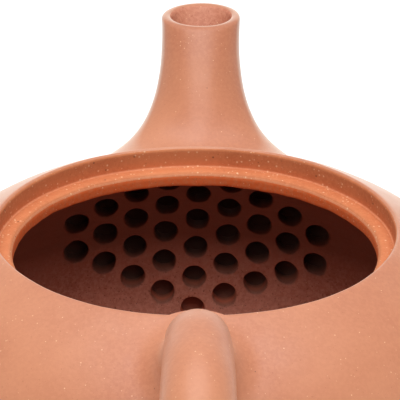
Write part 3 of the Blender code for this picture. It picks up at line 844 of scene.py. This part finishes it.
def make_lid_knob(materials):
    bore = AIR_HOLE / 2.0
    foot = lid_top_at(bore)
    neck = foot + KNOB_HEIGHT * KNOB_NECK_SHARE
    ball = (foot + KNOB_HEIGHT - neck) / 2.0
    centre = neck + ball
    start = math.degrees(math.acos((bore + KNOB_BORE_EDGE) / KNOB_RADIUS))
    end = -math.degrees(math.acos(KNOB_NECK_RADIUS / KNOB_RADIUS))
    crest = centre + ball * math.sin(math.radians(start))
    outline = [(bore, foot - KNOB_SEAT_SINK), (bore, crest - 0.00035), (bore + 0.0001, crest - 0.0001)]
    for step in range(31):
        angle = math.radians(mix(start, end, step / 30.0))
        outline.append((KNOB_RADIUS * math.cos(angle), centre + ball * math.sin(angle)))
    waist = outline[-1]
    flare = (KNOB_FLARE_RADIUS, lid_top_at(KNOB_FLARE_RADIUS))
    for step in range(1, 13):
        t = step / 12.0
        across = mix(waist[0], flare[0], t ** 2.2) - KNOB_WAIST * math.sin(math.pi * t)
        outline.append((across, mix(waist[1], flare[1], 1.0 - (1.0 - t) ** 1.6)))
    outline.append((KNOB_SEAT_RADIUS, lid_top_at(KNOB_SEAT_RADIUS) - KNOB_SEAT_SINK))
    verts, faces = turned(outline, KNOB_STEPS, True, LID_CENTRE)
    mesh = finish_mesh("lid_handle", verts, faces, 0.7)
    add_piece("lid_handle", mesh, "lid", ["lid_knob"], materials)


# Materials
def clay(name, tones, roughness, specks, painted_reflection=0.0, gloss=0.0,
         lines=0.0, grit=0.30, coarse=1.0, shine=0.50, inside_shade_painted=False):
    """Unglazed clay: slow mottling, fine grain, pale and dark sand, and turning lines if it was thrown. It
    can also carry a painted reflection on edges seen at a grazing angle, painted shade on the spout, and
    painted light and shade inside the pot and in its strainer holes.
    """
    base, light, deep = tones
    material = bpy.data.materials.new(name)
    material.use_nodes = True
    nodes = material.node_tree.nodes
    links = material.node_tree.links
    shader = nodes["Principled BSDF"]
    shader.inputs["Metallic"].default_value = 0.0
    shader.inputs["IOR"].default_value = 1.50
    shader.inputs["Specular IOR Level"].default_value = shine
    shader.inputs["Coat Weight"].default_value = gloss
    shader.inputs["Coat Roughness"].default_value = 0.30
    place = nodes.new("ShaderNodeTexCoord").outputs["Object"]

    def field(scale, detail, rough=0.55, source=place):
        node = nodes.new("ShaderNodeTexNoise")
        node.inputs["Scale"].default_value = scale
        node.inputs["Detail"].default_value = detail
        node.inputs["Roughness"].default_value = rough
        links.new(source, node.inputs["Vector"])
        return node.outputs["Fac"]

    def remap(value, low, high, to_low=0.0, to_high=1.0):
        node = nodes.new("ShaderNodeMapRange")
        node.inputs["From Min"].default_value = low
        node.inputs["From Max"].default_value = high
        node.inputs["To Min"].default_value = to_low
        node.inputs["To Max"].default_value = to_high
        links.new(value, node.inputs["Value"])
        return node.outputs["Result"]

    def blend(share, first, second):
        node = nodes.new("ShaderNodeMix")
        node.data_type = "RGBA"
        links.new(share, node.inputs["Factor"])
        for socket, value in ((node.inputs[6], first), (node.inputs[7], second)):
            if isinstance(value, tuple):
                socket.default_value = (*value, 1.0)
            else:
                links.new(value, socket)
        return node.outputs[2]

    def tinted(value, tint):
        node = nodes.new("ShaderNodeMix")
        node.data_type = "RGBA"
        node.blend_type = "MULTIPLY"
        node.inputs["Factor"].default_value = 1.0
        links.new(value, node.inputs[6])
        node.inputs[7].default_value = (*tint, 1.0)
        return node.outputs[2]

    def times(first, second):
        node = nodes.new("ShaderNodeMath")
        node.operation = "MULTIPLY"
        links.new(first, node.inputs[0])
        if isinstance(second, float):
            node.inputs[1].default_value = second
        else:
            links.new(second, node.inputs[1])
        return node.outputs[0]

    def sand(scale, radius, share, seed):
        """Grains: the core of a few of the cells."""
        shift = nodes.new("ShaderNodeMapping")
        shift.inputs["Location"].default_value = (seed, seed * 1.7, seed * 0.6)
        links.new(place, shift.inputs["Vector"])
        cells = nodes.new("ShaderNodeTexVoronoi")
        cells.inputs["Scale"].default_value = scale
        links.new(shift.outputs["Vector"], cells.inputs["Vector"])
        split = nodes.new("ShaderNodeSeparateColor")
        links.new(cells.outputs["Color"], split.inputs["Color"])
        core = remap(cells.outputs["Distance"], radius * scale, radius * scale * 0.6)
        few = remap(split.outputs["Red"], share, share - 0.02)
        return times(core, few)

    def power(value, exponent):
        node = nodes.new("ShaderNodeMath")
        node.operation = "POWER"
        links.new(value, node.inputs[0])
        node.inputs[1].default_value = exponent
        return node.outputs[0]

    slow = remap(field(55.0, 3.0), 0.36, 0.64)
    colour = blend(slow, tuple(mix(a, b, 0.35) for a, b in zip(base, deep)),
                   tuple(mix(a, b, 0.30) for a, b in zip(base, light)))
    grain = remap(field(1500.0, 4.0, 0.65), 0.42, 0.62)
    colour = blend(times(grain, grit), colour, light)
    pits = remap(field(2600.0, 2.0, 0.6), 0.70 - grit / 8.0, 0.78 - grit / 8.0)
    colour = blend(times(pits, 0.2 + grit), colour, deep)
    pale = sand(1400.0, 0.00011 * coarse, specks, 0.11)
    fine_pale = sand(2100.0, 0.00008, specks * 0.8, 0.37)
    dark = sand(1100.0, 0.00012 * coarse, specks * 0.20, 0.73)
    colour = blend(times(pale, 0.75), colour, SPECK_PALE)
    colour = blend(times(fine_pale, 0.6), colour, SPECK_PALE)
    colour = blend(times(dark, 0.75), colour, SPECK_DARK)
    axes = nodes.new("ShaderNodeSeparateXYZ")
    links.new(place, axes.inputs["Vector"])
    along = axes.outputs["Y"]
    up = axes.outputs["Z"]
    if painted_reflection > 0.0:
        # Painted shade: beyond the belly, on the spout, the colour is darkened
        colour = blend(remap(along, 0.046, 0.062), colour, tinted(colour, SPOUT_SHADE_PAINT))
        # Painted reflection: the colour pales where the surface is seen at a grazing angle, more so
        # towards the spout's side
        weight = nodes.new("ShaderNodeLayerWeight")
        weight.inputs["Blend"].default_value = 0.5
        shown = remap(weight.outputs["Facing"], 0.52, 0.92, 0.0, painted_reflection)
        colour = blend(times(shown, remap(along, -0.060, 0.060)), colour, EDGE_REFLECTION_PAINT)
    if inside_shade_painted:
        flat = nodes.new("ShaderNodeMapping")
        flat.inputs["Scale"].default_value = (1.0, 1.0, 0.0)
        links.new(place, flat.inputs["Vector"])
        across = nodes.new("ShaderNodeVectorMath")
        across.operation = "LENGTH"
        links.new(flat.outputs["Vector"], across.inputs[0])
        outward = power(times(across.outputs["Value"], 1.0 / BELLY_RADIUS), BELLY_FULLNESS)
        level = outward
        for end in (EQUATOR_HEIGHT + UPPER_RISE, EQUATOR_HEIGHT - LOWER_DROP):
            total = nodes.new("ShaderNodeMath")
            links.new(level, total.inputs[0])
            links.new(power(remap(up, EQUATOR_HEIGHT, end), BELLY_FULLNESS), total.inputs[1])
            level = total.outputs[0]
        # Painted shade: the inner wall darkens towards its top
        colour = blend(remap(up, 0.016, 0.033, 0.0, 0.95), colour, deep)
        # Painted light and shade in the strainer holes: tube walls lit brown low down and dark higher up,
        # their far ends and the funnel behind dark
        tube_light_and_shade = blend(remap(up, 0.017, 0.029), TUBE_LIGHT_PAINT, HOLE_SHADE_PAINT)
        colour = blend(remap(level, 0.862, 0.925), colour, tube_light_and_shade)
        far_hole_shade = times(remap(level, 0.930, 1.010), remap(up, 0.012, 0.027, 0.60, 1.0))
        colour = blend(far_hole_shade, colour, HOLE_SHADE_PAINT)
    links.new(colour, shader.inputs["Base Color"])
    rough = remap(field(240.0, 3.0), 0.35, 0.65, roughness - 0.05, roughness + 0.06)
    links.new(rough, shader.inputs["Roughness"])
    height = field(1900.0, 4.0, 0.6)
    bump = nodes.new("ShaderNodeBump")
    bump.inputs["Strength"].default_value = 0.10 + grit * 0.8
    bump.inputs["Distance"].default_value = 0.00010
    links.new(height, bump.inputs["Height"])
    last = bump
    if lines > 0.0:
        flat = nodes.new("ShaderNodeMapping")
        flat.inputs["Scale"].default_value = (0.06, 0.06, 1.0)
        links.new(place, flat.inputs["Vector"])
        turned_lines = nodes.new("ShaderNodeBump")
        turned_lines.inputs["Strength"].default_value = lines
        turned_lines.inputs["Distance"].default_value = 0.00025
        links.new(field(900.0, 3.0, 0.6, flat.outputs["Vector"]), turned_lines.inputs["Height"])
        links.new(bump.outputs["Normal"], turned_lines.inputs["Normal"])
        last = turned_lines
    links.new(last.outputs["Normal"], shader.inputs["Normal"])
    return material


# Room
def flagged_light(nodes, links, base, shown=1.0):
    """A strength that is one value for camera, glossy and transmission rays, and another for the rest."""
    path = nodes.new("ShaderNodeLightPath")
    total = path.outputs["Is Camera Ray"]
    for name in ("Is Glossy Ray", "Is Transmission Ray"):
        node = nodes.new("ShaderNodeMath")
        node.operation = "MAXIMUM"
        links.new(total, node.inputs[0])
        links.new(path.outputs[name], node.inputs[1])
        total = node.outputs[0]
    node = nodes.new("ShaderNodeMapRange")
    node.inputs["To Min"].default_value = base
    node.inputs["To Max"].default_value = shown
    links.new(total, node.inputs["Value"])
    return node.outputs["Result"]


def make_world():
    world = bpy.data.worlds.new("studio")
    bpy.context.scene.world = world
    world.use_nodes = True
    nodes = world.node_tree.nodes
    links = world.node_tree.links
    background = nodes["Background"]
    background.inputs["Color"].default_value = (1.0, 1.0, 1.0, 1.0)
    links.new(flagged_light(nodes, links, AMBIENT), background.inputs["Strength"])


def make_floor():
    mesh = bpy.data.meshes.new("floor")
    shape = bmesh.new()
    bmesh.ops.create_grid(shape, x_segments=1, y_segments=1, size=FLOOR_HALF_SIZE)
    shape.to_mesh(mesh)
    shape.free()
    floor = bpy.data.objects.new("floor", mesh)
    bpy.context.scene.collection.objects.link(floor)
    material = bpy.data.materials.new("floor")
    material.use_nodes = True
    nodes = material.node_tree.nodes
    links = material.node_tree.links
    shader = nodes["Principled BSDF"]
    shader.inputs["Base Color"].default_value = (FLOOR_GREY, FLOOR_GREY, FLOOR_GREY, 1.0)
    shader.inputs["Roughness"].default_value = 0.8
    glow = nodes.new("ShaderNodeEmission")
    place = nodes.new("ShaderNodeTexCoord")
    away = nodes.new("ShaderNodeVectorMath")
    away.operation = "LENGTH"
    links.new(place.outputs["Object"], away.inputs[0])
    rise = nodes.new("ShaderNodeMapRange")
    rise.inputs["From Min"].default_value = GLOW_DISTANCE[0]
    rise.inputs["From Max"].default_value = GLOW_DISTANCE[1]
    rise.inputs["To Min"].default_value = GLOW_STRENGTH[0]
    rise.inputs["To Max"].default_value = GLOW_STRENGTH[1]
    links.new(away.outputs["Value"], rise.inputs["Value"])
    seen = nodes.new("ShaderNodeMath")
    seen.operation = "MULTIPLY"
    links.new(flagged_light(nodes, links, 0.0, 1.0), seen.inputs[0])
    links.new(rise.outputs["Result"], seen.inputs[1])
    links.new(seen.outputs[0], glow.inputs["Strength"])
    total = nodes.new("ShaderNodeAddShader")
    links.new(shader.outputs[0], total.inputs[0])
    links.new(glow.outputs[0], total.inputs[1])
    links.new(total.outputs[0], nodes["Material Output"].inputs["Surface"])
    mesh.materials.append(material)


def add_lamp(name, place, target, size, power):
    data = bpy.data.lights.new(name, "AREA")
    data.shape = "SQUARE"
    data.size = size
    data.energy = power
    lamp = bpy.data.objects.new(name, data)
    lamp.location = place
    lamp.rotation_euler = (Vector(target) - Vector(place)).to_track_quat("-Z", "Y").to_euler()
    bpy.context.scene.collection.objects.link(lamp)


def make_camera():
    """The photograph's viewpoint, aimed at the mouth's centre and then turned a little."""
    data = bpy.data.cameras.new("camera")
    data.sensor_width = 36.0
    data.lens = CAMERA_LENS
    data.clip_start = 0.01
    data.clip_end = 20.0
    camera = bpy.data.objects.new("camera", data)
    bpy.context.scene.collection.objects.link(camera)
    place = Vector(CAMERA_PLACE)
    aim = (Vector((0.0, 0.0, MOUTH_HEIGHT)) - place).normalized()
    right = aim.cross(Vector((0.0, 0.0, 1.0))).normalized()
    up = right.cross(aim)
    yaw = Matrix.Rotation(CAMERA_YAW, 3, up)
    aim, right = yaw @ aim, yaw @ right
    pitch = Matrix.Rotation(CAMERA_PITCH, 3, right)
    aim, up = pitch @ aim, pitch @ up
    roll = Matrix.Rotation(CAMERA_ROLL, 3, aim)
    right, up = roll @ right, roll @ up
    turn = Matrix((right, up, -aim)).transposed()
    camera.matrix_world = Matrix.Translation(place) @ turn.to_4x4()
    bpy.context.scene.camera = camera


make_camera()
make_world()
make_floor()
add_lamp("key", (-0.02, -0.29, 0.91), LIT_PLACE, 0.9, 5.8)
add_lamp("top_fill", (-0.02, 0.10, 0.98), LIT_PLACE, 0.8, 3.1)
body_clay = clay("clay_body", BODY_TONES, 0.44, 0.12, painted_reflection=0.95, gloss=0.14)
bore_clay = clay("clay_bore", BORE_TONES, 0.60, 0.50, grit=0.50)
rim_clay = clay("clay_rim", RIM_TONES, 0.62, 0.40, lines=0.12, grit=0.36, coarse=1.7, shine=0.18)
under_clay = clay("clay_rim_under", UNDER_TONES, 0.70, 0.35, grit=0.50, shine=0.12)
highlight_clay = clay("clay_rim_highlight_paint", PAINTED_HIGHLIGHT_TONES, 0.60, 0.40, grit=0.40, coarse=1.7, shine=0.15)
inner_clay = clay("clay_inside", INSIDE_TONES, 0.55, 0.30, lines=0.60, grit=0.60, shine=0.15, inside_shade_painted=True)
foot_clay = clay("clay_foot", BODY_TONES, 0.62, 0.20)
make_body_shell([body_clay, inner_clay])
make_base([foot_clay, inner_clay])
make_mouth_ring([body_clay, rim_clay, highlight_clay])
make_lid_seat([rim_clay, under_clay, highlight_clay])
make_spout([body_clay, bore_clay, inner_clay])
make_handle([body_clay])
make_lid([body_clay], [rim_clay])
make_lid_knob([body_clay])

scene = bpy.context.scene
scene.view_settings.view_transform = "Standard"
bpy.context.view_layer.update()
